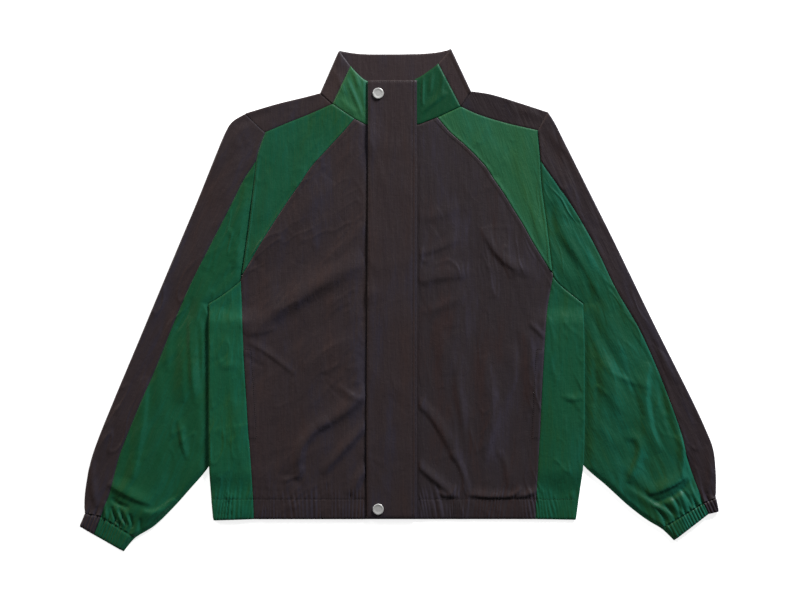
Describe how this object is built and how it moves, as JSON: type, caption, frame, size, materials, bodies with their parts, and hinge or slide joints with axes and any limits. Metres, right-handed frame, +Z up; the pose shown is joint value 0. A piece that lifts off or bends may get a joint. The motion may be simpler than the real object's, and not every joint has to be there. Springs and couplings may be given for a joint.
{
  "type": "track jacket",
  "caption": "Boxy zipped track jacket in brown and green nylon with a storm flap, stand collar, elastic hem and cuffs, laid flat face up.",
  "frame": {"origin": "middle of the jacket's bounding box, on the surface that it lies on", "axes": "+X to the viewer's right (the wearer's left), across the sleeves; +Y from hem to collar; +Z up, out of the jacket's front"},
  "size_m": [0.9918, 0.7799, 0.0097],
  "materials": {
    "brown_nylon": "crinkled two-tone nylon, soft satin sheen",
    "green_nylon": "crinkled two-tone nylon, soft satin sheen",
    "snap_steel": "satin, turned cap"
  },
  "bodies": {
    "root": {"back_panel": "brown_nylon", "collar_band": "brown_nylon", "storm_flap": "brown_nylon", "right_front": "brown_nylon", "right_shoulder_strip": "brown_nylon", "right_sleeve_stripe": "brown_nylon", "left_front": "brown_nylon", "left_shoulder_strip": "brown_nylon", "left_sleeve_stripe": "brown_nylon", "right_yoke": "green_nylon", "right_side_panel": "green_nylon", "right_sleeve_front": "green_nylon", "right_sleeve_back": "green_nylon", "right_collar_front": "green_nylon", "left_yoke": "green_nylon", "left_side_panel": "green_nylon", "left_sleeve_front": "green_nylon", "left_sleeve_back": "green_nylon", "left_collar_front": "green_nylon", "snap_top": "snap_steel", "snap_hem": "snap_steel"}
  },
  "joints": []
}
